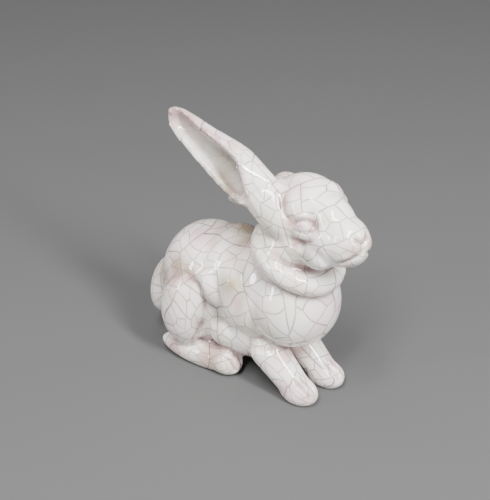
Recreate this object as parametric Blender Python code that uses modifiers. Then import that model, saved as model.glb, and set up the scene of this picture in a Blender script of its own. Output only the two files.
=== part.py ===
"""A sitting hare in cast earthenware, one ear raised and one laid back.

The hare faces +X and stands on its paws at z = 0. Its pose and carving are drawn in units of
which DRAWN_HEIGHT make the figure's height, and mm() turns a drawn unit into metres. The near
side is its right, at -Y, and the far side its left.
"""

import bpy
import math
import numpy as np
from mathutils import Euler, Matrix, Vector
from mathutils.bvhtree import BVHTree
from mathutils.kdtree import KDTree

# Driving sizes, in metres
HEIGHT = 0.195
EAR_LENGTH = 0.081
EAR_WIDTH = 0.029
EAR_DEPTH = 0.018
EAR_WALL = 0.0043
SOLE_CUT = 0.0012

# The drawing's own height, its step along a stroke, and a stroke's reach in widths
DRAWN_HEIGHT = 190.0
STROKE_STEP = 0.7
STROKE_REACH = 2.4

# The grain of the worked skin, its smoothing passes, and the faces of the finished solid
GRAIN = 0.0016
BODY_PASSES = 25
LIMB_PASSES = 9
FINE_PASSES = 4
FACES = 9300

# The body's middle plane, and the head's centre and turn, in drawn units and degrees
BODY_MIDDLE = 1.0
HEAD_CENTRE = (-15.0, 2.5, 134.0)
HEAD_TURN = -14.0
NEAR = -1
FAR = 1

# Where the toes of the forepaws reach, in drawn units
NEAR_TOE = 5.0
FAR_TOE = 7.0

# How far round the edges of an ear without a hood wrap at most, in degrees
PLAIN_WRAP = 105

GLAZE_COLOUR = (0.62, 0.59, 0.57, 1.0)
GLAZE_ROUGHNESS = 0.12


def mm(drawn):
    return drawn * HEIGHT / DRAWN_HEIGHT


def activate(thing):
    bpy.ops.object.select_all(action="DESELECT")
    thing.select_set(True)
    bpy.context.view_layer.objects.active = thing


def egg(centre, radii, turn=(0.0, 0.0, 0.0)):
    """One rounded mass of clay: centre and radii in drawn units, turn in degrees."""
    bpy.ops.mesh.primitive_uv_sphere_add(segments=40, ring_count=24, radius=1.0)
    mass = bpy.context.active_object
    size = Matrix.Diagonal([mm(radius) for radius in radii]).to_4x4()
    lean = Euler([math.radians(angle) for angle in turn]).to_matrix().to_4x4()
    place = Matrix.Translation([mm(value) for value in centre])
    mass.data.transform(place @ lean @ size)
    return mass


def taper(start, end, start_radius, end_radius, steps=9):
    """A tapered roll of clay from one point to another."""
    masses = []
    for step in range(steps):
        share = step / (steps - 1)
        centre = Vector(start).lerp(Vector(end), share)
        radius = start_radius + (end_radius - start_radius) * share
        masses.append(egg(centre, (radius, radius, radius)))
    return masses


def in_body(point):
    """A point of the body, measured sideways from its middle plane."""
    x, offset, z = point
    return (x, BODY_MIDDLE + offset, z)


def in_head(point):
    """A point of the head, measured from the middle of the skull."""
    turned = Euler((0.0, 0.0, math.radians(HEAD_TURN))).to_matrix() @ Vector(point)
    return tuple(turned + Vector(HEAD_CENTRE))


def sided(point, side):
    x, offset, z = point
    return (x, side * offset, z)


def bake(thing, modifier):
    activate(thing)
    bpy.ops.object.modifier_apply(modifier=modifier.name)


def knead(masses, passes):
    """Joins the masses into one skin and smooths it by so many passes."""
    activate(masses[0])
    for mass in masses:
        mass.select_set(True)
    bpy.ops.object.join()
    clay = bpy.context.active_object
    skin = clay.modifiers.new("Skin", "REMESH")
    skin.mode = "VOXEL"
    skin.voxel_size = GRAIN
    skin.use_smooth_shade = True
    bake(clay, skin)
    soften = clay.modifiers.new("Soften", "SMOOTH")
    soften.factor = 0.5
    soften.iterations = passes
    bake(clay, soften)
    return clay


def trunk():
    return [
        egg((-93.5, 1, 54), (38.5, 34, 45)),
        egg((-74, 3, 70), (24, 29, 33)),
        egg((-52, 2, 65), (36, 31, 38)),
        egg((-60, 1, 37), (36, 25, 26)),
        egg((-24, 2, 67), (31, 31, 33)),
        egg((-25, 2, 106), (28, 28, 28)),
    ]


def head_egg(point, radii, turn=(0.0, 0.0, 0.0)):
    return egg(in_head(point), radii, (turn[0], turn[1], turn[2] + HEAD_TURN))


def skull():
    return [
        head_egg((0, 0, 0), (28, 22.5, 25)),
        head_egg((8, 0, -12), (24, 20, 16)),
        head_egg((-12, 0, -10), (22, 23, 24)),
    ]


def face():
    masses = [
        head_egg((35.5, 0, -4.5), (17.5, 14.5, 16.5)),
        head_egg((22, 0, 4), (19, 14, 15), (0, 25, 0)),
        head_egg((33, 0, -13), (16, 12.5, 9.5), (0, -20, 0)),
    ]
    for side in (NEAR, FAR):
        masses.append(head_egg((27, 8.5 * side, -6), (16, 9.5, 14), (0, 0, -12 * side)))
        masses.append(head_egg((19, 11 * side, -15), (17, 9, 11.5)))
        masses.append(head_egg((6, 13.5 * side, -14), (15, 10, 11)))
        masses.append(head_egg((7, 13 * side, 8), (14, 7, 9), (0, 30, -14 * side)))
    return masses


def eyes():
    masses = []
    for side in (NEAR, FAR):
        masses.append(head_egg((14.8, 14.5 * side, -0.3), (12, 6.4, 8.5), (0, 12, -16 * side)))
    return masses


def neck_roll():
    """The fold of loose skin that rings the throat."""
    masses = []
    for step in range(24):
        angle = math.tau * step / 24
        centre = (-21 + 22.5 * math.cos(angle), 1 + 22.5 * math.sin(angle), 102 - 11 * math.cos(angle))
        masses.append(egg(centre, (8.5, 8.5, 8)))
    return masses


def hind_leg(side):
    """Haunch, thigh, long foot and toes."""
    toe_in = -5 * side
    return [
        egg(in_body(sided((-97, 27, 44), side)), (18.5, 13, 29), (0, 6, 0)),
        egg(in_body(sided((-75, 23, 66), side)), (11, 8.5, 15), (0, -25, 0)),
        egg(in_body(sided((-67, 19, 35), side)), (13, 9.5, 13)),
        egg(in_body(sided((-87, 22, 9), side)), (34, 9.5, 10), (0, 0, toe_in)),
        egg(in_body(sided((-66, 20, 10), side)), (13, 10, 10), (0, 0, toe_in)),
    ]


def foreleg(side, toe_x):
    """A sloping foreleg whose toes reach toe_x."""
    stride = 13.5 * side
    elbow = in_body((toe_x - 39, stride, 30))
    wrist = in_body((toe_x - 17, stride, 12))
    masses = taper(elbow, wrist, 12.5, 10)
    masses.append(egg(in_body((toe_x - 13, stride, 8.5)), (15, 10.3, 10)))
    return masses


def tail():
    return [egg((-130.5, -7, 41), (11, 13, 25), (0, 13, 0))]


def ear(base, towards, opening, hooded):
    """A spoon-shaped shell from its base towards a point, open to one side.

    A hooded ear's front edge stands out and wraps over its hollow; else the edges are alike.
    """
    along = (Vector(towards) - Vector(base)).normalized()
    facing = Vector(opening)
    facing = (facing - facing.dot(along) * along).normalized()
    wide = facing.cross(along)
    frame_of_ear = Matrix((wide, facing, along)).transposed()

    # The section at each share of the ear's length: how far the front and the back edge stand
    # out, in half widths, the depth, and how far round each edge wraps, in degrees
    shares = (0.0, 0.06, 0.12, 0.20, 0.30, 0.40, 0.50, 0.60, 0.70, 0.80, 0.90, 0.96, 1.0)
    fronts = (1.48, 1.46, 1.44, 1.42, 1.38, 1.25, 1.10, 0.93, 0.80, 0.69, 0.54, 0.36, 0.06)
    backs = (0.30, 0.55, 0.75, 0.75, 0.77, 0.74, 0.73, 0.72, 0.71, 0.68, 0.58, 0.38, 0.06)
    depths = (0.55, 0.68, 0.80, 0.92, 1.04, 1.00, 0.86, 0.72, 0.60, 0.48, 0.32, 0.18, 0.02)
    front_wraps = (175, 168, 158, 143, 124, 118, 116, 116, 117, 117, 106, 98, 95)
    back_wraps = (165, 135, 108, 105, 105, 105, 105, 105, 104, 102, 98, 94, 90)
    if not hooded:
        fronts = backs
        back_wraps = [min(wrap, PLAIN_WRAP) for wrap in back_wraps]
        front_wraps = back_wraps

    bpy.ops.mesh.primitive_grid_add(x_subdivisions=40, y_subdivisions=48, size=2.0)
    shell = bpy.context.active_object
    for vertex in shell.data.vertices:
        share = (vertex.co.y + 1.0) / 2.0
        front = vertex.co.x < 0.0
        angle = math.radians(np.interp(share, shares, front_wraps if front else back_wraps))
        angle *= vertex.co.x
        width = float(np.interp(share, shares, fronts if front else backs)) * EAR_WIDTH / 2
        depth = float(np.interp(share, shares, depths)) * EAR_DEPTH
        spot = Vector((width * math.sin(angle), -depth * math.cos(angle), EAR_LENGTH * share))
        vertex.co = mm(1) * Vector(base) + frame_of_ear @ spot
    wall = shell.modifiers.new("Wall", "SOLIDIFY")
    wall.thickness = EAR_WALL
    wall.offset = -1.0
    bake(shell, wall)
    return shell


def ears():
    """The near ear is raised, and the far one is laid back over the neck."""
    raised = ear((-43, -16, 141), (-105, -28, 190), (0.26, -0.96, 0.07), True)
    laid_back = ear((-35, 9, 142), (-85, 25, 115), (-0.4, 0.1, 0.8), False)
    return [raised, laid_back]


def ear_roots():
    near_root = taper((-24, -6, 134), (-39, -13, 144), 19, 13)
    far_root = taper((-28, 8, 139), (-41, 12, 140), 13, 9.5)
    return near_root + far_root


def stroke(points, width, depth):
    """A tool mark along points in drawn units: positive depth is pressed in, negative raised."""
    return (points, width, depth)


def on_both_sides(place, points, width, depth):
    """The same mark on the near and the far side, placed in the body or the head."""
    marks = []
    for side in (NEAR, FAR):
        path = [place(sided(point, side)) for point in points]
        marks.append(stroke(path, width, depth))
    return marks


def laid_on(surface, points):
    """The path through the points, drawn down on to the surface in short steps."""
    corners = [mm(1) * Vector(point) for point in points]
    path = []
    for start, end in zip(corners, corners[1:]):
        count = max(2, int((end - start).length / mm(STROKE_STEP)))
        for step in range(count):
            path.append(surface.find_nearest(start.lerp(end, step / count))[0])
    path.append(surface.find_nearest(corners[-1])[0])
    return path


def carve(clay, strokes):
    """Moves the skin along its normals under each stroke, fading out at the stroke's ends."""
    mesh = clay.data
    surface = BVHTree.FromPolygons(
        [vertex.co for vertex in mesh.vertices], [face.vertices for face in mesh.polygons]
    )
    skin = KDTree(len(mesh.vertices))
    for vertex in mesh.vertices:
        skin.insert(vertex.co, vertex.index)
    skin.balance()
    moves = {}
    for points, width, depth in strokes:
        path = laid_on(surface, points)
        reach = mm(width)
        pressed = {}
        for order, mark in enumerate(path):
            fade = 1.0
            if len(path) > 1:
                share = order / (len(path) - 1)
                fade = min(1.0, 0.15 + 4.0 * min(share, 1.0 - share))
            for spot, index, distance in skin.find_range(mark, STROKE_REACH * reach):
                press = fade * math.exp(-((distance / reach) ** 2))
                pressed[index] = max(press, pressed.get(index, 0.0))
        for index, press in pressed.items():
            moves[index] = moves.get(index, 0.0) + press * mm(depth)
    normals = {index: mesh.vertices[index].normal.copy() for index in moves}
    for index, move in moves.items():
        mesh.vertices[index].co -= normals[index] * move
    mesh.update()


def face_marks():
    brow_furrow = [(-2, 16, 18), (-1.5, 19.5, 15), (0.5, 21.5, 12), (4, 22, 7.5), (8, 21, 3)]
    brow_ridge = [(5.5, 17.5, 16), (11, 17.5, 12), (15.5, 16.5, 8.5)]
    brow_edge = [(7, 20, 8.5), (11, 18.5, 8.5), (15, 17, 9), (19, 15, 9)]
    upper_lid = [(9.5, 21.5, 1), (12, 19.5, 4.5), (15, 17.5, 6.5), (18, 15.5, 7), (21.5, 15, 6.5)]
    eye_corner = [(21, 15, 6.5), (23, 14.5, 5.5), (26, 15, 4)]
    lid_line = [(10.5, 21, -1.5), (18, 20.5, 0), (23.5, 17.5, 2), (25.5, 15.5, 3.5)]
    lower_lid = [(7, 22, -7), (11, 19.5, -8), (17.5, 17, -8), (27, 17.5, -3)]
    under_eye = [(8, 22, -10), (13, 20, -10.5), (19, 18, -9.5)]
    nostril = [(48.5, 5, 5), (51, 2.5, 2.5), (51.5, 0, 0)]
    lip_parting = [(51.5, -0.5, 0), (52.5, -1.5, -2.5), (52.5, -2, -5.5)]
    mouth = [(52.5, 2, -5.5), (51, 6, -6.5), (47.5, 8, -9.5), (44.5, 10, -12.5), (40, 12, -16)]
    lip_fold = [(29.5, 17.5, -9), (32.5, 16, -13), (34, 13, -17.5)]
    jaw = [(2, 27, -21), (8, 23, -25.5), (12, 18.5, -27), (15, 12, -30), (17.5, 6.5, -33)]
    marks = on_both_sides(in_head, brow_furrow, 2.8, 1.4)
    marks += on_both_sides(in_head, brow_ridge, 4.5, -0.6)
    marks += on_both_sides(in_head, brow_edge, 2.2, -0.9)
    marks += on_both_sides(in_head, upper_lid, 1.3, 1.4)
    marks += on_both_sides(in_head, eye_corner, 2.2, 1.1)
    marks += on_both_sides(in_head, lid_line, 1.3, 0.6)
    marks += on_both_sides(in_head, lower_lid, 1.5, 1.1)
    marks += on_both_sides(in_head, under_eye, 3.0, 1.2)
    marks += on_both_sides(in_head, nostril, 1.3, 1.4)
    marks += on_both_sides(in_head, mouth, 1.3, 1.3)
    marks += on_both_sides(in_head, lip_fold, 2.6, 0.8)
    marks += on_both_sides(in_head, jaw, 2.5, 1.5)
    marks += on_both_sides(in_head, [(50.5, 6.5, -0.5)], 3.6, -0.9)
    marks.append(stroke([in_head((49, 0.5, 7))], 5.0, -1.2))
    marks.append(stroke([in_head(point) for point in lip_parting], 1.2, 1.3))
    return marks


def body_marks():
    haunch_front = [(-93, 30, 74), (-82, 30, 70), (-78, 30, 66), (-76, 30, 58), (-77, 30, 44)]
    haunch_foot = [(-77, 30, 44), (-81, 30, 34), (-85, 30, 26), (-92, 28, 18)]
    haunch_back = [(-93, 30, 74), (-103, 31, 67), (-109, 30, 56)]
    thigh_valley = [(-71, 34, 57), (-68, 33, 49), (-66, 32, 38)]
    flank_valley = [(-75, 1, 102), (-61, 11, 99), (-51, 22, 89), (-48, 28, 77), (-52, 29, 60)]
    shoulder_line = [(-41, 25, 82), (-46, 29, 68), (-55, 27, 48)]
    chest_fold = [(-42, 21, 32), (-28, 26, 38), (-18, 23, 42), (-7, 17, 47), (2, 6, 50)]
    marks = on_both_sides(in_body, haunch_front, 2.8, 2.0)
    marks += on_both_sides(in_body, haunch_foot, 2.8, 2.2)
    marks += on_both_sides(in_body, haunch_back, 2.5, 1.4)
    marks += on_both_sides(in_body, thigh_valley, 4.0, 0.8)
    marks += on_both_sides(in_body, flank_valley, 7.0, 2.2)
    marks += on_both_sides(in_body, shoulder_line, 4.0, 0.9)
    marks += on_both_sides(in_body, chest_fold, 2.6, 1.3)
    marks += on_both_sides(in_body, [(-57, 27, 78)], 7.0, -1.4)
    return marks


def paw_marks():
    marks = []
    for foot in (18.0, 24.0):
        toe = [(-62, foot + 1, 18), (-57, foot, 13), (-53, foot - 1, 6)]
        marks += on_both_sides(in_body, toe, 1.4, 1.4)
    for paw in (10.5, 16.5):
        for side, toe_x in ((NEAR, NEAR_TOE), (FAR, FAR_TOE)):
            toe = [(toe_x - 14, 18), (toe_x - 6, 14), (toe_x - 1, 6)]
            path = [in_body((x, side * paw, z)) for x, z in toe]
            marks.append(stroke(path, 1.3, 1.3))
    return marks


def thin_out(hare):
    """Leaves about FACES triangles, most where the form bends most."""
    thin = hare.modifiers.new("Thin", "DECIMATE")
    thin.ratio = FACES / (2 * len(hare.data.polygons))
    bake(hare, thin)


def flatten_soles(hare):
    """Cuts the paws flat, so that the cast stands on them."""
    span = 2 * HEIGHT
    bpy.ops.mesh.primitive_cube_add(size=span, location=(0.0, 0.0, SOLE_CUT - span / 2))
    floor = bpy.context.active_object
    floor.name = "sole_cutter"
    cut = hare.modifiers.new("Soles", "BOOLEAN")
    cut.operation = "DIFFERENCE"
    cut.solver = "EXACT"
    cut.object = floor
    bake(hare, cut)
    bpy.data.objects.remove(floor)


def centre_on_origin(hare):
    """Puts the origin under the middle of the figure's box, at the soles."""
    corners = np.array([vertex.co for vertex in hare.data.vertices])
    low = corners.min(axis=0)
    high = corners.max(axis=0)
    shift = Vector(((low[0] + high[0]) / -2, (low[1] + high[1]) / -2, -low[2]))
    hare.data.transform(Matrix.Translation(shift))


def glaze():
    material = bpy.data.materials.new("glazed_earthenware")
    material.use_nodes = True
    shader = material.node_tree.nodes["Principled BSDF"]
    shader.inputs["Base Color"].default_value = GLAZE_COLOUR
    shader.inputs["Roughness"].default_value = GLAZE_ROUGHNESS
    shader.inputs["Metallic"].default_value = 0.0
    return material


def model():
    for thing in list(bpy.data.objects):
        bpy.data.objects.remove(thing, do_unlink=True)
    hare = knead(trunk() + skull(), BODY_PASSES)
    limbs = hind_leg(NEAR) + hind_leg(FAR) + tail()
    limbs += foreleg(NEAR, NEAR_TOE) + foreleg(FAR, FAR_TOE)
    hare = knead([hare] + limbs + face() + neck_roll() + ear_roots(), LIMB_PASSES)
    hare = knead([hare] + eyes() + ears(), FINE_PASSES)
    carve(hare, face_marks() + body_marks() + paw_marks())
    thin_out(hare)
    flatten_soles(hare)
    centre_on_origin(hare)
    hare.name = "hare"
    hare.data.name = "hare"
    hare.data.materials.clear()
    hare.data.materials.append(glaze())
    hare.data.shade_smooth()
    home = bpy.data.collections.new("hare_sculpture")
    bpy.context.scene.collection.children.link(home)
    for holder in list(hare.users_collection):
        holder.objects.unlink(hare)
    home.objects.link(hare)


model()
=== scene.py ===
"""The looks of the hare: fine clay under a crackled glaze, on a plain floor in soft light.

The hare is drawn as its solid is: in units of which DRAWN_HEIGHT make the figure's height, with
+X the way it faces and its near, right side at -Y. mm() turns a drawn unit into metres.
"""

import bpy
import math
import numpy as np
from mathutils import Euler, Matrix, Vector
from mathutils.bvhtree import BVHTree
from mathutils.kdtree import KDTree


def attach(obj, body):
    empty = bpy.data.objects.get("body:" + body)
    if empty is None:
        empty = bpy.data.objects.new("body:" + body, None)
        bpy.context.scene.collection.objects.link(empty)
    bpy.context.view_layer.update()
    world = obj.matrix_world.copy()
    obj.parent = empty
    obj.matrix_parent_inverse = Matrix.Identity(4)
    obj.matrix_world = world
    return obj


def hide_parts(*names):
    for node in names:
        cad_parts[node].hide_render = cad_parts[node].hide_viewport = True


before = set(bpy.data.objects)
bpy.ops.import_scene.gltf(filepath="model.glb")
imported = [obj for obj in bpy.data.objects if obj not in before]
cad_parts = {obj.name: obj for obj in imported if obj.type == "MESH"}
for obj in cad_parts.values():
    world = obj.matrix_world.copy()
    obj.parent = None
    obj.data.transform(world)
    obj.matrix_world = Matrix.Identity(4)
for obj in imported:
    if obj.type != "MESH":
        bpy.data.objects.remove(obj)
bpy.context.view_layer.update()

# The figure's height, an ear's sizes and what is cut off the soles, in metres, as in its solid
HEIGHT = 0.195
EAR_LENGTH = 0.081
EAR_WIDTH = 0.029
EAR_DEPTH = 0.018
EAR_WALL = 0.0043
SOLE_CUT = 0.0012

# The figure's height in drawn units
DRAWN_HEIGHT = 190.0

# The height that the lamps are aimed at, in metres
FIGURE_MIDDLE = 0.09

# A stroke's step in drawn units, its reach in widths, its strength at its very ends, and how
# fast the strength rises from there with the share of its length
STROKE_STEP = 0.5
STROKE_REACH = 2.4
STROKE_END = 0.15
STROKE_RISE = 4.0

# The faces round and along a mass of clay, the masses in a tapered roll and in the neck's roll,
# and the faces across and along an ear
EGG_SEGMENTS = 40
EGG_RINGS = 24
TAPER_EGGS = 9
NECK_EGGS = 24
EAR_FACES = (60, 80)

# The grain of the worked skin in metres, how far a pass smooths it, and the number of passes
GRAIN = 0.0011
SMOOTHING = 0.5
BODY_PASSES = 53
LIMB_PASSES = 19
FINE_PASSES = 8

# How far a hollow is sunk between the thinnest glaze and the thickest glaze with its painted
# shade, in drawn units, and the rounds of averaging that show how far it is sunk and then even it
HOLLOW_SPAN = 2.4
HOLLOW_ROUNDS = 24
HOLLOW_EVENING = 3

# The same for a fine crease, which is painted dark as shade, and how deep, as a share of its span,
# a crease begins to show
CREASE_SPAN = 0.22
CREASE_START = 0.2
CREASE_ROUNDS = 5
CREASE_EVENING = 1

# The part of an ear's length that its hollow takes, how far the hollow's wall stands from the
# ear's middle line at most, in drawn units, how much it faces that line at least, the rounds
# that even its edge, and its share of the grey green tint
HOLLOW_START = 0.10
HOLLOW_END = 0.97
HOLLOW_REACH = 21
HOLLOW_FACING = 0.2
CALM_EVENING = 6
CALM_MIST = 0.4

# The crazing, in drawn units: how far apart the long first cracks and the second ones stand, and
# the last ones where they are sparse, as on the chest, and where they are close
FIRST_CRACKS = 38.0
SECOND_CRACKS = 17.0
SPARSE_CRACKS = 11.5
USUAL_CRACKS = 8.0
CLOSE_CRACKS = 5.6

# The widths of the first, the second and the last cracks, in millimetres. Real ones are about
# 0.1 mm wide: they are drawn about four times as wide, to show
CRACK_WIDTHS = (0.52, 0.42, 0.34)

# How much the way the skin faces counts beside its place, in drawn units, the rounds that even
# it, how near to a wider crack a cell may start, as a share of the spacing, and a plane's value
# far from every spot
FACING_WEIGHT = 9.0
FACING_ROUNDS = 12
EDGE_SHARE = 0.36
NO_CRACK = 1e4

# The slow waves that bend the cracks: the length of each and how far it moves them
WAVES = ((60, 3.0), (60, 3.0), (40, 2.2), (40, 2.2), (28, 1.4), (28, 1.4), (20, 0.9), (20, 0.9))

# Where the random draws for the waves and for the cells begin
WAVE_SEED = 5
CELL_SEED = 11

# The body's middle plane, and the skull's middle and its turn in degrees
BODY_MIDDLE = 1.0
HEAD_CENTRE = (-15.0, 2.5, 134.0)
HEAD_TURN = -14.0

# The two sides, and where the toes of each foreleg reach
NEAR = -1
FAR = 1
NEAR_TOE = 5.0
FAR_TOE = 7.0

# An ear's base and the point that it reaches towards
RAISED_EAR = ((-43, -16, 141), (-105, -28, 190))
LAID_EAR = ((-35, 9, 142), (-85, 25, 115))

# How far round the edges of an ear without a hood wrap at most, in degrees
PLAIN_WRAP = 105


def mm(drawn):
    """Drawn units as metres."""
    return drawn * HEIGHT / DRAWN_HEIGHT


def activate(thing):
    """Selects one thing alone, for the next operator."""
    bpy.ops.object.select_all(action="DESELECT")
    thing.select_set(True)
    bpy.context.view_layer.objects.active = thing


def egg(centre, radii, turn=(0.0, 0.0, 0.0)):
    """One rounded mass of clay: centre and radii in drawn units, turn in degrees."""
    bpy.ops.mesh.primitive_uv_sphere_add(segments=EGG_SEGMENTS, ring_count=EGG_RINGS, radius=1.0)
    mass = bpy.context.active_object
    size = Matrix.Diagonal([mm(radius) for radius in radii]).to_4x4()
    lean = Euler([math.radians(angle) for angle in turn]).to_matrix().to_4x4()
    place = Matrix.Translation([mm(value) for value in centre])
    mass.data.transform(place @ lean @ size)
    return mass


def taper(start, end, start_radius, end_radius):
    """A tapered roll of clay from one point to another."""
    masses = []
    for step in range(TAPER_EGGS):
        share = step / (TAPER_EGGS - 1)
        centre = Vector(start).lerp(Vector(end), share)
        radius = start_radius + (end_radius - start_radius) * share
        masses.append(egg(centre, (radius, radius, radius)))
    return masses


def in_body(point):
    """A point of the body, measured sideways from its middle plane."""
    x, offset, z = point
    return (x, BODY_MIDDLE + offset, z)


def in_head(point):
    """A point of the head, measured from the middle of the skull."""
    turned = Euler((0.0, 0.0, math.radians(HEAD_TURN))).to_matrix() @ Vector(point)
    return tuple(turned + Vector(HEAD_CENTRE))


def sided(point, side):
    """A point given by its distance from the middle plane, on the near or the far side."""
    x, offset, z = point
    return (x, side * offset, z)


def bake(thing, modifier):
    """Applies a modifier for good."""
    activate(thing)
    bpy.ops.object.modifier_apply(modifier=modifier.name)


def knead(masses, passes):
    """Joins the masses into one skin and smooths it by so many passes."""
    activate(masses[0])
    for mass in masses:
        mass.select_set(True)
    bpy.ops.object.join()
    clay = bpy.context.active_object
    skin = clay.modifiers.new("Skin", "REMESH")
    skin.mode = "VOXEL"
    skin.voxel_size = GRAIN
    skin.use_smooth_shade = True
    bake(clay, skin)
    soften = clay.modifiers.new("Soften", "SMOOTH")
    soften.factor = SMOOTHING
    soften.iterations = passes
    bake(clay, soften)
    return clay


def trunk():
    return [
        egg((-93.5, 1, 54), (38.5, 34, 45)),
        egg((-74, 3, 70), (24, 29, 33)),
        egg((-52, 2, 65), (36, 31, 38)),
        egg((-60, 1, 37), (36, 25, 26)),
        egg((-24, 2, 67), (31, 31, 33)),
        egg((-25, 2, 106), (28, 28, 28)),
    ]


def head_egg(point, radii, turn=(0.0, 0.0, 0.0)):
    """A mass that is placed and turned with the head."""
    return egg(in_head(point), radii, (turn[0], turn[1], turn[2] + HEAD_TURN))


def skull():
    return [
        head_egg((0, 0, 0), (28, 22.5, 25)),
        head_egg((8, 0, -12), (24, 20, 16)),
        head_egg((-12, 0, -10), (22, 23, 24)),
    ]


def face():
    masses = [
        head_egg((35.5, 0, -4.5), (17.5, 14.5, 16.5)),
        head_egg((22, 0, 4), (19, 14, 15), (0, 25, 0)),
        head_egg((33, 0, -13), (16, 12.5, 9.5), (0, -20, 0)),
    ]
    for side in (NEAR, FAR):
        masses.append(head_egg((27, 8.5 * side, -6), (16, 9.5, 14), (0, 0, -12 * side)))
        masses.append(head_egg((19, 11 * side, -15), (17, 9, 11.5)))
        masses.append(head_egg((6, 13.5 * side, -14), (15, 10, 11)))
        masses.append(head_egg((7, 13 * side, 8), (14, 7, 9), (0, 30, -14 * side)))
    return masses


def eyes():
    masses = []
    for side in (NEAR, FAR):
        masses.append(head_egg((14.8, 14.5 * side, -0.3), (12, 6.4, 8.5), (0, 12, -16 * side)))
    return masses


def neck_roll():
    """The fold of loose skin that rings the throat, lower at the front than at the back."""
    radius = 22.5
    slope = 11
    masses = []
    for step in range(NECK_EGGS):
        angle = math.tau * step / NECK_EGGS
        across = math.cos(angle)
        centre = (-21 + radius * across, 1 + radius * math.sin(angle), 102 - slope * across)
        masses.append(egg(centre, (8.5, 8.5, 8)))
    return masses


def hind_leg(side):
    """Haunch, thigh, long foot and toes."""
    toe_in = -5 * side
    return [
        egg(in_body(sided((-97, 27, 44), side)), (18.5, 13, 29), (0, 6, 0)),
        egg(in_body(sided((-75, 23, 66), side)), (11, 8.5, 15), (0, -25, 0)),
        egg(in_body(sided((-67, 19, 35), side)), (13, 9.5, 13)),
        egg(in_body(sided((-87, 22, 9), side)), (34, 9.5, 10), (0, 0, toe_in)),
        egg(in_body(sided((-66, 20, 10), side)), (13, 10, 10), (0, 0, toe_in)),
    ]


def foreleg(side, toe_x):
    """A sloping foreleg whose toes reach toe_x."""
    stride = 13.5 * side
    elbow = in_body((toe_x - 39, stride, 30))
    wrist = in_body((toe_x - 17, stride, 12))
    masses = taper(elbow, wrist, 12.5, 10)
    masses.append(egg(in_body((toe_x - 13, stride, 8.5)), (15, 10.3, 10)))
    return masses


def tail():
    return [egg((-130.5, -7, 41), (11, 13, 25), (0, 13, 0))]


def ear(base, towards, opening, hooded):
    """A spoon-shaped shell from its base towards a point, open to one side.

    A hooded ear's front edge stands out and wraps over its hollow; else the edges are alike.
    """
    along = (Vector(towards) - Vector(base)).normalized()
    facing = Vector(opening)
    facing = (facing - facing.dot(along) * along).normalized()
    wide = facing.cross(along)
    frame_of_ear = Matrix((wide, facing, along)).transposed()

    # The section at each share of the ear's length: how far the front and the back edge stand
    # out, in half widths, the depth, and how far round each edge wraps, in degrees
    shares = (0.0, 0.06, 0.12, 0.20, 0.30, 0.40, 0.50, 0.60, 0.70, 0.80, 0.90, 0.96, 1.0)
    fronts = (1.48, 1.46, 1.44, 1.42, 1.38, 1.25, 1.10, 0.93, 0.80, 0.69, 0.54, 0.36, 0.06)
    backs = (0.30, 0.55, 0.75, 0.75, 0.77, 0.74, 0.73, 0.72, 0.71, 0.68, 0.58, 0.38, 0.06)
    depths = (0.55, 0.68, 0.80, 0.92, 1.04, 1.00, 0.86, 0.72, 0.60, 0.48, 0.32, 0.18, 0.02)
    front_wraps = (175, 168, 158, 143, 124, 118, 116, 116, 117, 117, 106, 98, 95)
    back_wraps = (165, 135, 108, 105, 105, 105, 105, 105, 104, 102, 98, 94, 90)
    if not hooded:
        fronts = backs
        back_wraps = [min(wrap, PLAIN_WRAP) for wrap in back_wraps]
        front_wraps = back_wraps

    across, lengthwise = EAR_FACES
    bpy.ops.mesh.primitive_grid_add(x_subdivisions=across, y_subdivisions=lengthwise, size=2.0)
    shell = bpy.context.active_object
    for vertex in shell.data.vertices:
        share = (vertex.co.y + 1.0) / 2.0
        front = vertex.co.x < 0.0
        angle = math.radians(np.interp(share, shares, front_wraps if front else back_wraps))
        angle *= vertex.co.x
        width = float(np.interp(share, shares, fronts if front else backs)) * EAR_WIDTH / 2
        depth = float(np.interp(share, shares, depths)) * EAR_DEPTH
        spot = Vector((width * math.sin(angle), -depth * math.cos(angle), EAR_LENGTH * share))
        vertex.co = mm(1) * Vector(base) + frame_of_ear @ spot
    wall = shell.modifiers.new("Wall", "SOLIDIFY")
    wall.thickness = EAR_WALL
    wall.offset = -1.0
    bake(shell, wall)
    return shell


def ears():
    """The near ear is raised, and the far one is laid back over the neck."""
    raised = ear(*RAISED_EAR, opening=(0.26, -0.96, 0.07), hooded=True)
    laid_back = ear(*LAID_EAR, opening=(-0.4, 0.1, 0.8), hooded=False)
    return [raised, laid_back]


def ear_roots():
    """The thick bases of the ears, where they grow out of the skull."""
    near_root = taper((-24, -6, 134), (-39, -13, 144), 19, 13)
    far_root = taper((-28, 8, 139), (-41, 12, 140), 13, 9.5)
    return near_root + far_root


def on_both_sides(place, points, width, depth):
    """The same tool mark on the near and the far side, placed in the body or the head.

    A mark is its path, width and depth, in drawn units. One of positive depth is pressed in, and
    one of negative depth stands out.
    """
    marks = []
    for side in (NEAR, FAR):
        path = [place(sided(point, side)) for point in points]
        marks.append((path, width, depth))
    return marks


def laid_on(surface, points):
    """The path through the points, drawn down on to the surface in short steps."""
    corners = [mm(1) * Vector(point) for point in points]
    path = []
    for start, end in zip(corners, corners[1:]):
        count = max(2, int((end - start).length / mm(STROKE_STEP)))
        for step in range(count):
            path.append(surface.find_nearest(start.lerp(end, step / count))[0])
    path.append(surface.find_nearest(corners[-1])[0])
    return path


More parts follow.
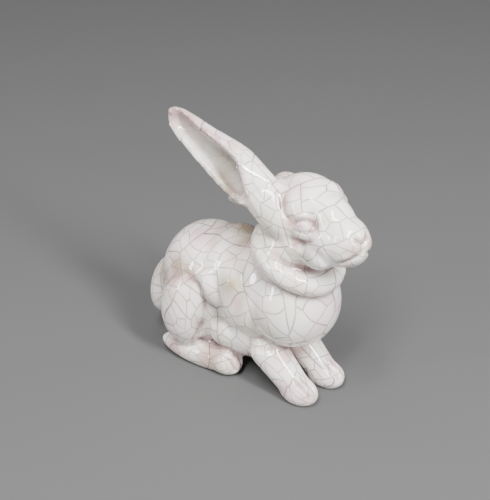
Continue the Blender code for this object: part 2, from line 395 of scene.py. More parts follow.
def carve(clay, strokes):
    """Moves the skin along its normals under each stroke, fading out at the stroke's ends."""
    mesh = clay.data
    surface = BVHTree.FromPolygons(
        [vertex.co for vertex in mesh.vertices], [face.vertices for face in mesh.polygons]
    )
    skin = KDTree(len(mesh.vertices))
    for vertex in mesh.vertices:
        skin.insert(vertex.co, vertex.index)
    skin.balance()
    moves = {}
    for points, width, depth in strokes:
        path = laid_on(surface, points)
        reach = mm(width)
        pressed = {}
        for order, mark in enumerate(path):
            fade = 1.0
            if len(path) > 1:
                share = order / (len(path) - 1)
                fade = min(1.0, STROKE_END + STROKE_RISE * min(share, 1.0 - share))
            for spot, index, distance in skin.find_range(mark, STROKE_REACH * reach):
                press = fade * math.exp(-((distance / reach) ** 2))
                pressed[index] = max(press, pressed.get(index, 0.0))
        for index, press in pressed.items():
            moves[index] = moves.get(index, 0.0) + press * mm(depth)
    normals = {index: mesh.vertices[index].normal.copy() for index in moves}
    for index, move in moves.items():
        mesh.vertices[index].co -= normals[index] * move
    mesh.update()


def face_marks():
    """The brows, eyelids, cheeks, nose and mouth."""
    brow_furrow = [(-2, 16, 18), (-1.5, 19.5, 15), (0.5, 21.5, 12), (4, 22, 7.5), (8, 21, 3)]
    brow_ridge = [(5.5, 17.5, 16), (11, 17.5, 12), (15.5, 16.5, 8.5)]
    brow_edge = [(7, 20, 8.5), (11, 18.5, 8.5), (15, 17, 9), (19, 15, 9)]
    forehead_edge = [(8, 11, 21), (14, 10.5, 18), (20, 10, 13)]
    upper_lid = [(9.5, 21.5, 1), (12, 19.5, 4.5), (15, 17.5, 6.5), (18, 15.5, 7), (21.5, 15, 6.5)]
    eye_corner = [(21, 15, 6.5), (23, 14.5, 5.5), (26, 15, 4)]
    lid_line = [(10.5, 21, -1.5), (18, 20.5, 0), (23.5, 17.5, 2), (25.5, 15.5, 3.5)]
    lid_hollow = [(12, 21, 1.5), (18, 19.5, 3.5)]
    lower_lid = [(7, 22, -7), (11, 19.5, -8), (17.5, 17, -8), (27, 17.5, -3)]
    under_eye = [(8, 22, -10), (13, 20, -10.5), (19, 18, -9.5)]
    nostril = [(48.5, 5, 5), (51, 2.5, 2.5), (51.5, 0, 0)]
    lip_parting = [(51.5, -0.5, 0), (52.5, -1.5, -2.5), (52.5, -2, -5.5)]
    mouth = [(52.5, 2, -5.5), (51, 6, -6.5), (47.5, 8, -9.5), (44.5, 10, -12.5), (40, 12, -16)]
    lip_fold = [(29.5, 17.5, -9), (32.5, 16, -13), (34, 13, -17.5)]
    jaw = [(2, 27, -21), (8, 23, -25.5), (12, 18.5, -27), (15, 12, -30), (17.5, 6.5, -33)]
    marks = on_both_sides(in_head, brow_furrow, 2.8, 1.4)
    marks += on_both_sides(in_head, brow_furrow[1:], 1.2, 0.9)
    marks += on_both_sides(in_head, brow_ridge, 4.5, -0.6)
    marks += on_both_sides(in_head, brow_edge, 2.2, -0.9)
    marks += on_both_sides(in_head, upper_lid, 1.3, 1.8)
    marks += on_both_sides(in_head, eye_corner, 2.2, 1.1)
    marks += on_both_sides(in_head, lid_line, 1.1, 0.9)
    marks += on_both_sides(in_head, lid_hollow, 2.2, 0.5)
    marks += on_both_sides(in_head, lower_lid, 1.5, 1.1)
    marks += on_both_sides(in_head, under_eye, 3.0, 1.5)
    marks += on_both_sides(in_head, nostril, 1.5, 1.8)
    marks += on_both_sides(in_head, mouth, 1.3, 1.6)
    marks += on_both_sides(in_head, lip_fold, 2.6, 0.8)
    marks += on_both_sides(in_head, jaw, 2.5, 1.5)
    marks += on_both_sides(in_head, [(50.5, 6.5, -0.5)], 3.6, -0.9)
    marks += on_both_sides(in_head, forehead_edge, 4.5, -1.4)
    marks.append(([in_head((49, 0.5, 7))], 5.0, -1.2))
    marks.append(([in_head(point) for point in lip_parting], 1.2, 1.6))
    return marks


def body_marks():
    """The edges of the haunches, the flanks, the shoulders and the chest's fold."""
    haunch_front = [(-93, 30, 74), (-82, 30, 70), (-78, 30, 66), (-76, 30, 58), (-77, 30, 44)]
    haunch_foot = [(-77, 30, 44), (-81, 30, 34), (-85, 30, 26), (-92, 28, 18)]
    haunch_back = [(-93, 30, 74), (-103, 31, 67), (-109, 30, 56)]
    thigh_valley = [(-71, 34, 57), (-68, 33, 49), (-66, 32, 38)]
    flank_valley = [(-75, 1, 102), (-61, 11, 99), (-51, 22, 89), (-48, 28, 77), (-52, 29, 60)]
    shoulder_line = [(-41, 25, 82), (-46, 29, 68), (-55, 27, 48)]
    chest_fold = [(-42, 21, 32), (-28, 26, 38), (-18, 23, 42), (-7, 17, 47), (2, 6, 50)]
    marks = on_both_sides(in_body, haunch_front, 2.8, 2.0)
    marks += on_both_sides(in_body, haunch_foot, 2.8, 2.2)
    marks += on_both_sides(in_body, haunch_back, 2.5, 1.4)
    marks += on_both_sides(in_body, thigh_valley, 4.0, 0.8)
    marks += on_both_sides(in_body, flank_valley, 7.0, 2.2)
    marks += on_both_sides(in_body, shoulder_line, 4.0, 0.9)
    marks += on_both_sides(in_body, chest_fold, 2.6, 1.3)
    marks += on_both_sides(in_body, [(-57, 27, 78)], 7.0, -1.4)
    return marks


def paw_marks():
    """The partings of the toes."""
    marks = []
    for foot in (18.0, 24.0):
        toe = [(-62, foot + 1, 18), (-57, foot, 13), (-53, foot - 1, 6)]
        marks += on_both_sides(in_body, toe, 1.4, 1.7)
    for side, toe_x, gaps in ((NEAR, NEAR_TOE, (13.5, 18.5)), (FAR, FAR_TOE, (10.5, 16.5))):
        for gap in gaps:
            toe = [(toe_x - 13, 20.5), (toe_x - 6.4, 17), (toe_x - 1, 13), (toe_x + 1, 7)]
            path = [in_body((x, side * gap, z)) for x, z in toe]
            marks.append((path, 1.2, 1.5))
    return marks


def flatten_soles(hare):
    """Cuts the paws flat, so that the cast stands on them."""
    span = 2 * HEIGHT
    bpy.ops.mesh.primitive_cube_add(size=span, location=(0.0, 0.0, SOLE_CUT - span / 2))
    floor = bpy.context.active_object
    cut = hare.modifiers.new("Soles", "BOOLEAN")
    cut.operation = "DIFFERENCE"
    cut.solver = "EXACT"
    cut.object = floor
    bake(hare, cut)
    bpy.data.objects.remove(floor)


def seat(hare):
    """Moves the figure to where its solid stands, and gives the move back."""
    corners = np.array([vertex.co for vertex in hare.data.vertices])
    low = corners.min(axis=0)
    high = corners.max(axis=0)
    shift = Vector(((low[0] + high[0]) / -2, (low[1] + high[1]) / -2, -low[2]))
    hare.data.transform(Matrix.Translation(shift))
    return shift


def hare_of_clay():
    """The whole figure as one skin, before it is glazed."""
    hare = knead(trunk() + skull(), BODY_PASSES)
    limbs = hind_leg(NEAR) + hind_leg(FAR) + tail()
    limbs += foreleg(NEAR, NEAR_TOE) + foreleg(FAR, FAR_TOE)
    hare = knead([hare] + limbs + face() + neck_roll() + ear_roots(), LIMB_PASSES)
    hare = knead([hare] + eyes() + ears(), FINE_PASSES)
    carve(hare, face_marks() + body_marks() + paw_marks())
    flatten_soles(hare)
    hare.name = "glazed_hare"
    hare.data.name = "glazed_hare"
    hare.data.shade_smooth()
    return hare


def placed(point, shift):
    """A drawn point, where it stands in the shared frame once the figure is moved by the shift."""
    return mm(1) * Vector(point) + shift


def read_skin(mesh, shift):
    """Each vertex's drawn place and its normal, and the two ends of each edge."""
    count = len(mesh.vertices)
    corners = np.zeros(3 * count)
    mesh.vertices.foreach_get("co", corners)
    spots = (corners.reshape(count, 3) - np.array(shift)) / mm(1)
    normals = np.zeros(3 * count)
    mesh.vertices.foreach_get("normal", normals)
    ends = np.zeros(2 * len(mesh.edges), dtype=np.int64)
    mesh.edges.foreach_get("vertices", ends)
    return spots, normals.reshape(count, 3), ends.reshape(-1, 2)


def averaged(values, ends, rounds):
    """The skin's rows of values after so many rounds of averaging each with its neighbours."""
    first = np.concatenate((ends[:, 0], ends[:, 1]))
    second = np.concatenate((ends[:, 1], ends[:, 0]))
    count = np.bincount(first, minlength=len(values))
    for _ in range(rounds):
        columns = [
            np.bincount(first, weights=column[second], minlength=len(values)) / count
            for column in values.T
        ]
        values = 0.5 * values + 0.5 * np.stack(columns, axis=1)
    return values


def evened(values, ends, rounds):
    """The same for one value at each vertex."""
    return averaged(values[:, None], ends, rounds)[:, 0]


def sunk_below(spots, normals, ends, rounds):
    """How far each spot lies below the average of the skin around it, in drawn units."""
    return np.einsum("ij,ij->i", averaged(spots, ends, rounds) - spots, normals)


def keep(mesh, name, domain, values):
    """Keeps four values for each vertex or face corner under a name the glaze can read."""
    layer = mesh.attributes.new(name, "FLOAT_COLOR", domain)
    layer.data.foreach_set("color", values.astype(np.float32).ravel())


def dabbed(spots, places):
    """How strongly each spot takes a tint dabbed on at the places, from nought to one."""
    tone = np.zeros(len(spots))
    for centre, reach, strength in places:
        away = np.linalg.norm(spots - np.array(centre), axis=1) / reach
        tone = np.maximum(tone, strength * np.exp(-away ** 2))
    return tone


def both_sides(place, dabs):
    """The dabs on the near and on the far side, placed in the body or the head."""
    return [
        (place(sided(point, side)), reach, strength)
        for point, reach, strength in dabs
        for side in (NEAR, FAR)
    ]


def lip_shadow_places():
    """The line under the near ear's rolled edge, painted dark as the shadow that the edge casts
    there.
    """
    reach = 2.8
    lip = [
        (-99.5, -28, 188.8), (-96.5, -27.3, 189.1), (-87.8, -27.7, 186.8), (-77.9, -27, 181.8),
        (-67.2, -26, 176.4), (-58.2, -25.8, 172.3), (-51.4, -25.7, 170.5), (-46.8, -27.1, 165.7),
        (-43.7, -28.8, 158.6), (-46.5, -23.5, 150), (-53.9, -16.2, 142.5),
    ]
    places = []
    for start, end in zip(lip, lip[1:]):
        start = Vector(start)
        end = Vector(end)
        count = max(1, int((end - start).length / reach))
        for step in range(count):
            places.append((tuple(start.lerp(end, step / count)), reach, 1.0))
    return places


def pink_and_shade_places():
    """Where the glaze runs thin over the edges and the clay shows through pink; in the creases of
    the face and the folds where the feet meet the body, the pink dabs are painted shade.
    """
    places = [
        ((-98, -28.5, 189), 12, 1.0), ((-88, -27, 188), 9, 1.0), ((-75, -26.5, 182), 6, 0.9),
        ((-68, -23, 179), 5, 0.8), ((-58, -21, 175), 5, 0.7), ((-57, -22, 143.7), 4, 1.0),
        ((-50, -26, 160), 6, 0.4), ((-43, 9, 147), 6, 0.8), ((-20, -9, 155), 7, 0.5),
        ((-95, -12, 96), 9, 0.6), ((-85, -2, 99), 8, 0.5), ((-81, -14, 95), 6, 0.6),
        ((-62, -5, 99), 7, 0.4), ((-2, -23, 95), 7, 0.3), ((5, -9, 64), 9, 0.3),
        ((6, 4, 69), 9, 0.3), ((-27, -29, 64), 8, 0.3), ((-19, -13, 32), 6, 0.7),
        ((-19, 4, 27), 6, 0.7), ((-24, 3, 24), 6, 0.6),
    ]
    places += both_sides(in_head, [
        ((-2, 16, 18), 5, 0.5), ((0.5, 21.5, 12), 4, 0.9), ((8, 21, 3), 4, 1.0),
        ((12, 21, 1.5), 2.6, 0.8), ((16, 19.6, 3.2), 2.6, 0.9), ((23, 14.5, 5.5), 4.5, 1.0),
        ((13, 20, -10.5), 4, 1.0), ((51, 6.5, -0.5), 6, 0.7), ((46, 8, -10.5), 4, 0.6),
        ((2, 27, -21), 5, 0.6), ((12, 18.5, -27), 5, 0.5), ((11, 23, 10), 6, 0.3),
    ])
    places += both_sides(in_body, [
        ((-105, 31, 11), 8, 0.8), ((-75, 29, 12), 9, 0.7), ((-67, 24, 18), 7, 0.8),
        ((-56, 23, 14), 6, 0.7), ((-77, 22, 18), 6, 0.8), ((-99, 33, 67), 6, 0.9),
        ((-89, 29, 71), 6, 0.8), ((-99, 38, 58), 6, 0.6), ((-81, 33, 43), 6, 0.5),
        ((-87, 36, 58), 6, 0.3), ((-21, 17, 33), 7, 0.6), ((-4, 17, 16), 6, 0.7),
        ((2, 18, 11), 6, 0.7), ((-13, 23, 13), 6, 0.5), ((-50, 28, 68), 7, 0.7),
        ((-62, 18, 92), 7, 0.4),
    ])
    return places


def buff_and_shade_places():
    """Where the glaze lies thick in buff pools, or the cracks have taken up dirt; in the hollow
    behind the neck and on the hind feet, the darker buff is partly painted shade.
    """
    places = [
        ((-70, 9, 100), 14, 1.0), ((-77, 11, 100), 11, 0.9), ((-60, -3, 101), 9, 0.9),
        ((-66, -21, 151), 7, 0.9), ((-61, -22, 148), 6, 0.9), ((-125, -19, 58), 9, 0.8),
    ]
    places += both_sides(in_head, [((-1, 20, 14), 4, 0.8)])
    places += both_sides(in_body, [
        ((-101, 28, 76), 9, 1.0), ((-92, 29, 77), 8, 0.8), ((-113, 29, 63), 9, 0.9),
        ((-55, 28, 79), 7, 1.0), ((-73, 28, 15), 10, 0.8), ((-48, 27, 22), 6, 0.4),
    ])
    return places


def mist_places():
    """Where a thicker, cooler glaze is faintly grey green."""
    places = [((-90, 24, 111), 9, 0.8), ((-51, -26, 141), 6, 0.8), ((-104, 6, 90), 10, 0.5)]
    places += both_sides(in_head, [
        ((22, 20, -16), 6, 0.9), ((-6, 26, -8), 7, 0.8), ((-12, 24, 6), 5, 0.4),
    ])
    places += both_sides(in_body, [
        ((-73, 27, 48), 9, 1.0), ((-69, 30, 61), 9, 0.9), ((-66, 30, 36), 8, 0.6),
    ])
    return places


def in_ear_hollow(spots, normals, base, towards):
    """One on the inner wall of an ear, where the glaze hardly cracks, and nought elsewhere."""
    base = np.array(base)
    along = np.array(towards) - base
    along = along / np.linalg.norm(along)
    reach = (spots - base) @ along
    outward = spots - base - reach[:, None] * along
    distance = np.linalg.norm(outward, axis=1)
    inward = -np.einsum("ij,ij->i", outward, normals) / np.maximum(distance, 0.1)
    length = EAR_LENGTH / mm(1)
    inside = (reach > HOLLOW_START * length) & (reach < HOLLOW_END * length)
    inside = inside & (distance < HOLLOW_REACH) & (inward > HOLLOW_FACING)
    return inside.astype(float)


def tint(mesh, spots, normals, ends):
    """Keeps each spot's tints, hollowness, painted crease shade and share of cracks on the mesh.
    """
    sunk = sunk_below(spots, normals, ends, HOLLOW_ROUNDS)
    hollow = evened(np.clip(0.5 + sunk / HOLLOW_SPAN, 0.0, 1.0), ends, HOLLOW_EVENING)
    sunk = sunk_below(spots, normals, ends, CREASE_ROUNDS)
    crease_shade = evened(np.clip(sunk / CREASE_SPAN - CREASE_START, 0.0, 1.0), ends, CREASE_EVENING)
    # The painted shadow under the near ear's rolled edge joins the painted shade of the creases
    crease_shade = np.maximum(crease_shade, dabbed(spots, lip_shadow_places()))
    calm = np.maximum(
        in_ear_hollow(spots, normals, *RAISED_EAR), in_ear_hollow(spots, normals, *LAID_EAR)
    )
    calm = evened(calm, ends, CALM_EVENING)
    pink = dabbed(spots, pink_and_shade_places())
    buff = dabbed(spots, buff_and_shade_places())
    mist = np.maximum(dabbed(spots, mist_places()), CALM_MIST * calm)
    keep(mesh, "tints", "POINT", np.stack((pink, buff, mist, hollow), axis=1))
    none = np.zeros(len(spots))
    whole = np.ones(len(spots))
    keep(mesh, "calm", "POINT", np.stack((calm, crease_shade, none, whole), axis=1))


def wavered(spots, chance):
    """The spots, moved about by slow waves: a crack that is straight there runs in a curve."""
    moved = spots.copy()
    for length, reach in WAVES:
        wave = chance.normal(size=3)
        wave = wave * math.tau / (length * np.linalg.norm(wave))
        push = chance.normal(size=3)
        push = push * reach / np.linalg.norm(push)
        moved = moved + np.sin(spots @ wave + chance.uniform(0, math.tau))[:, None] * push
    return moved


def scattered(spots, spacing, allowed, chance):
    """Picks allowed spots at random, none within the spacing there of another."""
    free = allowed.copy()
    picked = []
    for pick in chance.permutation(len(spots)):
        if free[pick]:
            picked.append(pick)
            free &= np.linalg.norm(spots - spots[pick], axis=1) > spacing[pick]
    return np.array(picked, dtype=np.int64)


def nearest_two(spots, picked):
    """For each spot, the places in picked of the pick nearest to it and of the next."""
    centres = spots[picked]
    away = (centres ** 2).sum(axis=1)[None] - 2.0 * spots @ centres.T
    order = np.argsort(away, axis=1)
    return order[:, 0], order[:, 1]


def crazed(spots, spacings, widths):
    """Cracks within cracks: each cell of one spacing is cracked again by the next.

    Gives, for each spot and spacing, the crack nearest to it as a plane, in widths of the crack,
    and for each spot a chance value of its own cell.
    """
    chance = np.random.default_rng(CELL_SEED)
    planes = np.zeros((len(spots), len(widths), 7))
    planes[:, :, 6] = NO_CRACK
    edge = np.full(len(spots), NO_CRACK)
    groups = [np.arange(len(spots))]
    for level, width in enumerate(widths):
        cells = []
        for group in groups:
            own = spots[group]
            spacing = spacings[level][group]
            picked = scattered(own, spacing, edge[group] > EDGE_SHARE * spacing, chance)
            if len(picked) < 2:
                cells.append(group)
                continue
            first, second = nearest_two(own, picked)
            here = own[picked[first]]
            there = own[picked[second]]
            across = there - here
            across = across / (np.linalg.norm(across, axis=1) * width)[:, None]
            middle = np.einsum("ij,ij->i", across, (here + there) / 2)
            planes[group, level, :6] = across
            planes[group, level, 6] = middle
            away = np.abs(np.einsum("ij,ij->i", across, own) - middle) * width
            edge[group] = np.minimum(edge[group], away)
            cells += [group[first == order] for order in range(len(picked))]
        groups = [cell for cell in cells if len(cell)]
    tone = np.zeros(len(spots))
    for cell in groups:
        tone[cell] = chance.random()
    return planes, tone


def last_spacing(centres):
    """How far apart the last cracks stand: close on the haunches, sparse on chest and nose."""
    close = dabbed(centres, both_sides(in_body, [((-94, 32, 50), 26, 1.0)]) + [
        ((-110, 0, 80), 30, 0.8), ((-78, -24, 183), 20, 0.5), ((-50, -20, 160), 16, 0.5),
    ])
    sparse = dabbed(centres, both_sides(in_head, [((34, 10, -2), 14, 0.4)]) + [
        ((0, 2, 62), 26, 1.0), ((-20, -26, 66), 20, 0.9), ((-20, 30, 66), 20, 0.9),
    ])
    last = USUAL_CRACKS + (CLOSE_CRACKS - USUAL_CRACKS) * close
    return last + (SPARSE_CRACKS - USUAL_CRACKS) * sparse


def craze(mesh, spots, normals, ends):
    """Keeps the crazing on the mesh: the two cracks nearest to each face, and its cell's tone.

    A crazed spot is its waved place and the way its skin faces, so that cracks on one wall of an
    ear don't show on the other.
    """
    place = wavered(spots, np.random.default_rng(WAVE_SEED))
    facing = FACING_WEIGHT * averaged(normals, ends, FACING_ROUNDS)
    for name, values in (("crazed_place", place), ("crazed_facing", facing)):
        layer = mesh.attributes.new(name, "FLOAT_VECTOR", "POINT")
        layer.data.foreach_set("vector", values.astype(np.float32).ravel())

    faces = len(mesh.polygons)
    totals = np.zeros(faces, dtype=np.int64)
    mesh.polygons.foreach_get("loop_total", totals)
    starts = np.zeros(faces, dtype=np.int64)
    mesh.polygons.foreach_get("loop_start", starts)
    around = np.zeros(len(mesh.loops), dtype=np.int64)
    mesh.loops.foreach_get("vertex_index", around)
    crazed_spots = np.concatenate((place, facing), axis=1)
    middles = np.add.reduceat(crazed_spots[around], starts, axis=0) / totals[:, None]
    centres = np.add.reduceat(spots[around], starts, axis=0) / totals[:, None]

    first = np.full(faces, FIRST_CRACKS)
    second = np.full(faces, SECOND_CRACKS)
    widths = [millimetres * 1e-3 / mm(1) for millimetres in CRACK_WIDTHS]
    planes, tone = crazed(middles, (first, second, last_spacing(centres)), widths)
    away = np.abs(np.einsum("ijk,ik->ij", planes[:, :, :6], middles) - planes[:, :, 6])
    order = np.argsort(away * np.array(widths), axis=1)
    every = np.arange(faces)
    for rank, name in enumerate(("near_crack", "next_crack")):
        plane = np.repeat(planes[every, order[:, rank]], totals, axis=0)
        keep(mesh, name, "CORNER", plane[:, (0, 1, 2, 6)])
        keep(mesh, name + "_facing", "CORNER", plane[:, (3, 4, 5, 6)])
    cell = np.stack((tone, tone, tone, np.ones(faces)), axis=1)
    keep(mesh, "cell", "CORNER", np.repeat(cell, totals, axis=0))


def linear(colour):
    """An sRGB hex colour as linear values with full alpha."""
    values = []
    for start in (0, 2, 4):
        share = int(colour[start:start + 2], 16) / 255
        values.append(share / 12.92 if share <= 0.04045 else ((share + 0.055) / 1.055) ** 2.4)
    return tuple(values) + (1.0,)


def add_node(tree, kind, settings, links):
    """Adds a node with its properties or socket values, and links into its sockets."""
    made = tree.nodes.new(kind)
    for name, value in settings.items():
        if isinstance(name, str) and hasattr(made, name):
            setattr(made, name, value)
        else:
            made.inputs[name].default_value = value
    for name, source in links.items():
        tree.links.new(source, made.inputs[name])
    return made


def widths_from_crack(tree, name):
    """How far the spot is from the crack kept under the name, in widths of that crack."""
    crack, crack_facing, place, facing = [
        add_node(tree, "ShaderNodeAttribute", {"attribute_name": attribute}, {}).outputs
        for attribute in (name, name + "_facing", "crazed_place", "crazed_facing")
    ]
    by_place = add_node(
        tree, "ShaderNodeVectorMath", {"operation": "DOT_PRODUCT"},
        {0: place["Vector"], 1: crack["Color"]},
    ).outputs["Value"]
    by_facing = add_node(
        tree, "ShaderNodeVectorMath", {"operation": "DOT_PRODUCT"},
        {0: facing["Vector"], 1: crack_facing["Color"]},
    ).outputs["Value"]
    ahead = add_node(
        tree, "ShaderNodeMath", {"operation": "ADD"}, {0: by_place, 1: by_facing}
    ).outputs[0]
    past = add_node(
        tree, "ShaderNodeMath", {"operation": "SUBTRACT"}, {0: ahead, 1: crack["Alpha"]}
    ).outputs[0]
    return add_node(tree, "ShaderNodeMath", {"operation": "ABSOLUTE"}, {0: past}).outputs[0]


def tinted(tree, colour, hue, strength, share):
    """The colour with a hue laid over it: the strength is what it has where the share is one."""
    amount = add_node(tree, "ShaderNodeMath", {"operation": "MULTIPLY", 1: strength}, {0: share})
    laid = add_node(
        tree, "ShaderNodeMix", {"data_type": "RGBA", 7: linear(hue)},
        {0: amount.outputs[0], 6: colour},
    )
    return laid.outputs[2]


def drifting(tree, place, patch):
    """A value that drifts between nought and one over patches of so many metres."""
    cloud = add_node(
        tree, "ShaderNodeTexNoise", {"Scale": 1 / patch, "Detail": 2.0}, {"Vector": place}
    )
    return cloud.outputs["Fac"]


# How much less crazed the hollows of the ears are, how far the stain of a crack creeps into the
# glaze beside it, in widths of the crack, and how strong a crack is where it is palest
HOLLOW_CLEAR = 0.70
HALO_REACH = 4.0
STAIN_LEAST = 0.60

# The hollowness from which pooled glaze and painted shade begin and at which they are fullest,
# and how far the white steps from cell to cell
POOL_SHADE_START = 0.5
POOL_SHADE_FULL = 0.955
CELL_STEP = 0.24

# The patches, in metres, over which the cracks' darkness varies, the white drifts and the fired
# surface is uneven, and how uneven it is
STAIN_PATCH = 0.012
DRIFT_PATCH = 0.030
RIPPLE_PATCH = 0.009
RIPPLE_DEPTH = 0.0008


# Glazed earthenware: a glossy, slightly milky glass over a pale body, cooled until it crazed.
# It gives sharp small highlights, soft uneven tints, painted shade in its hollows and creases, and
# a net of fine stained cracks.
def crackle_glaze():
    material = bpy.data.materials.new("glazed_earthenware")
    material.use_nodes = True
    tree = material.node_tree
    shader = tree.nodes["Principled BSDF"]
    shader.inputs["Roughness"].default_value = 0.08
    shader.inputs["IOR"].default_value = 1.52
    shader.inputs["Metallic"].default_value = 0.0
    place = add_node(tree, "ShaderNodeTexCoord", {}, {}).outputs["Object"]

    tints = add_node(tree, "ShaderNodeAttribute", {"attribute_name": "tints"}, {})
    parts = add_node(tree, "ShaderNodeSeparateColor", {}, {"Color": tints.outputs["Color"]})
    pink, buff, mist = parts.outputs
    hollow = tints.outputs["Alpha"]
    calmed = add_node(tree, "ShaderNodeAttribute", {"attribute_name": "calm"}, {})
    parts = add_node(tree, "ShaderNodeSeparateColor", {}, {"Color": calmed.outputs["Color"]})
    calm = parts.outputs[0]
    crease_shade = parts.outputs[1]
    cell = add_node(tree, "ShaderNodeAttribute", {"attribute_name": "cell"}, {}).outputs["Fac"]

    # The glaze is crazed all over but in the hollows of the ears, where little of it is
    open_glaze = add_node(
        tree, "ShaderNodeMath", {"operation": "MULTIPLY_ADD", 1: -HOLLOW_CLEAR, 2: 1.0}, {0: calm}
    ).outputs[0]

    # A crack fades out over its width, and a faint stain has crept from it into the glaze
    nearest = add_node(
        tree, "ShaderNodeMath", {"operation": "MINIMUM"},
        {0: widths_from_crack(tree, "near_crack"), 1: widths_from_crack(tree, "next_crack")},
    ).outputs[0]
    crack, halo = [
        add_node(
            tree, "ShaderNodeMapRange",
            {"interpolation_type": "SMOOTHSTEP", "From Min": 0.0, "From Max": reach,
             "To Min": 1.0, "To Max": 0.0},
            {"Value": nearest},
        ).outputs["Result"]
        for reach in (1.0, HALO_REACH)
    ]

    # The cracks are darker in some patches than in others
    stain = add_node(
        tree, "ShaderNodeMapRange",
        {"From Min": 0.3, "From Max": 0.65, "To Min": STAIN_LEAST, "To Max": 1.0},
        {"Value": drifting(tree, place, STAIN_PATCH)},
    ).outputs["Result"]
    stained = add_node(
        tree, "ShaderNodeMath", {"operation": "MULTIPLY"}, {0: crack, 1: stain}
    ).outputs[0]

    # Glaze runs thin on the ridges; the hollows get pooled glaze's pinkish grey cast and painted
    # shade
    pooled_and_shaded = add_node(
        tree, "ShaderNodeMapRange",
        {"From Min": POOL_SHADE_START, "From Max": POOL_SHADE_FULL, "To Min": 0.0, "To Max": 1.0},
        {"Value": hollow},
    ).outputs["Result"]

    stained, halo, pooled_and_shaded = [
        add_node(
            tree, "ShaderNodeMath", {"operation": "MULTIPLY"}, {0: share, 1: open_glaze}
        ).outputs[0]
        for share in (stained, halo, pooled_and_shaded)
    ]

    # The glaze drifts from warm white to a cooler one, and steps a little from cell to cell
    middling = add_node(
        tree, "ShaderNodeMath", {"operation": "SUBTRACT", 1: 0.5}, {0: cell}
    ).outputs[0]
    mixed = add_node(
        tree, "ShaderNodeMath", {"operation": "MULTIPLY_ADD", 1: CELL_STEP},
        {0: middling, 2: drifting(tree, place, DRIFT_PATCH)},
    ).outputs[0]
    whites = add_node(tree, "ShaderNodeValToRGB", {}, {0: mixed})
    stops = whites.color_ramp.elements
    stops.new(0.50)
    for stop, position, colour in zip(stops, (0.30, 0.50, 0.72), ("E6E0D2", "EEEAE3", "EADADA")):
        stop.position = position
        stop.color = linear(colour)

    # Over the white lie pink, which in the creases is painted shade, buff, partly painted shade,
    # grey green, the pooled glaze with the painted shade of the hollows, the painted shade of the
    # creases, the stain beside the cracks, and the cracks
    colour = whites.outputs["Color"]
    # Pink: clay through thin glaze on the edges, and painted shade in the creases of face and feet
    colour = tinted(tree, colour, "B98287", 0.80, pink)
    # Buff: thick glaze, and partly painted shade behind the neck and on the hind feet
    colour = tinted(tree, colour, "8E7A52", 0.80, buff)
    colour = tinted(tree, colour, "99A08A", 0.70, mist)
    # Pooled glaze and painted shade darken the hollows
    colour = tinted(tree, colour, "A38D8B", 1.0, pooled_and_shaded)
    # Painted shade: the creases and the line under the ear's rolled edge are darkened as if shaded
    colour = tinted(tree, colour, "806866", 0.75, crease_shade)
    colour = tinted(tree, colour, "A58794", 0.22, halo)
    colour = tinted(tree, colour, "4C4047", 1.0, stained)
    tree.links.new(colour, shader.inputs["Base Color"])

    # The fired surface is very slightly uneven, which makes the small highlights waver
    ripple = add_node(
        tree, "ShaderNodeTexNoise", {"Scale": 1 / RIPPLE_PATCH, "Detail": 1.0}, {"Vector": place}
    )
    uneven = add_node(
        tree, "ShaderNodeBump", {"Strength": 0.15, "Distance": RIPPLE_DEPTH},
        {"Height": ripple.outputs["Fac"]},
    )
    tree.links.new(uneven.outputs["Normal"], shader.inputs["Normal"])
    return material


# Uncoated paper: it scatters light evenly, so it shows no highlight beside the soft shadow.
def plain_floor():
    """A wide matt sheet of grey paper under the figure."""
    bpy.ops.object.select_all(action="DESELECT")
    bpy.ops.mesh.primitive_plane_add(size=8.0, location=(0.0, 0.0, 0.0))
    floor = bpy.context.active_object
    floor.name = "floor"
    paper = bpy.data.materials.new("matt_paper")
    paper.use_nodes = True
    shader = paper.node_tree.nodes["Principled BSDF"]
    shader.inputs["Base Color"].default_value = linear("505050")
    shader.inputs["Roughness"].default_value = 0.8
    floor.data.materials.append(paper)


def aim(thing, spot, target):
    """Stands a lamp or camera on a spot, facing the target."""
    thing.location = spot
    thing.rotation_euler = (Vector(target) - Vector(spot)).to_track_quat("-Z", "Y").to_euler()


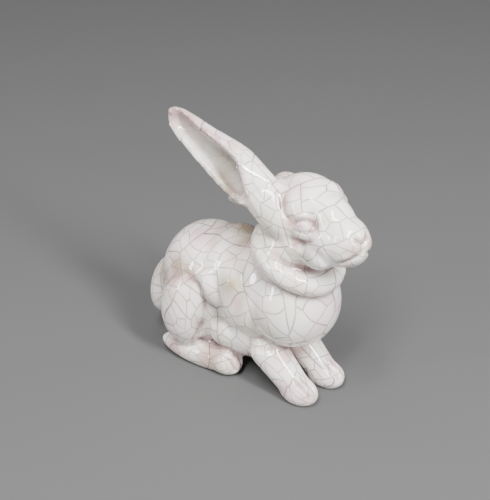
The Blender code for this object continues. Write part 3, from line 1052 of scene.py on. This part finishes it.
def soft_box(name, spot, width, height, power):
    """A soft lamp that faces the figure's middle."""
    lamp = bpy.data.lights.new(name, "AREA")
    lamp.shape = "RECTANGLE"
    lamp.size = width
    lamp.size_y = height
    lamp.energy = power
    holder = bpy.data.objects.new(name, lamp)
    bpy.context.scene.collection.objects.link(holder)
    aim(holder, spot, (0.0, 0.0, FIGURE_MIDDLE))


def lit_from(turn, rise, distance):
    """A spot in the room, by its turn from the near side towards the front and its rise.

    Both are in degrees, seen from the figure's middle.
    """
    turn = math.radians(turn)
    rise = math.radians(rise)
    return (
        distance * math.sin(turn) * math.cos(rise),
        -distance * math.cos(turn) * math.cos(rise),
        FIGURE_MIDDLE + distance * math.sin(rise),
    )


def studio():
    """A pale, even room with four soft lamps."""
    world = bpy.data.worlds.new("studio")
    bpy.context.scene.world = world
    world.use_nodes = True
    sky = world.node_tree.nodes["Background"]
    sky.inputs["Color"].default_value = linear("E6E6E8")
    sky.inputs["Strength"].default_value = 0.52

    # A tall strip high on the near side and one towards the front give the long highlights. A
    # low one towards the back and a wide one overhead fill the shadows
    soft_box("key", lit_from(22, 56, 1.6), 0.22, 0.90, 40.0)
    soft_box("side", lit_from(76, 40, 1.6), 0.20, 0.80, 56.0)
    soft_box("window", lit_from(-26, 14, 1.8), 0.16, 0.60, 12.0)
    soft_box("top", (-0.3, 0.1, 1.6), 1.2, 1.2, 8.0)


def camera(shift):
    """Looks down on the figure from its right front, as a standing person does."""
    lens = bpy.data.cameras.new("camera")
    lens.sensor_fit = "HORIZONTAL"
    lens.sensor_width = 36.0
    lens.lens = 87.72
    lens.clip_start = 0.01
    view = bpy.data.objects.new("camera", lens)
    bpy.context.scene.collection.objects.link(view)
    aim(view, placed((375.8, -525.0, 485.0), shift), placed((-69.53, 5.73, 85.0), shift))
    bpy.context.scene.camera = view


hare = hare_of_clay()
shift = seat(hare)
spots, normals, ends = read_skin(hare.data, shift)
tint(hare.data, spots, normals, ends)
craze(hare.data, spots, normals, ends)
hare.data.materials.clear()
hare.data.materials.append(crackle_glaze())
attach(hare, "root")
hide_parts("hare")

plain_floor()
studio()
camera(shift)
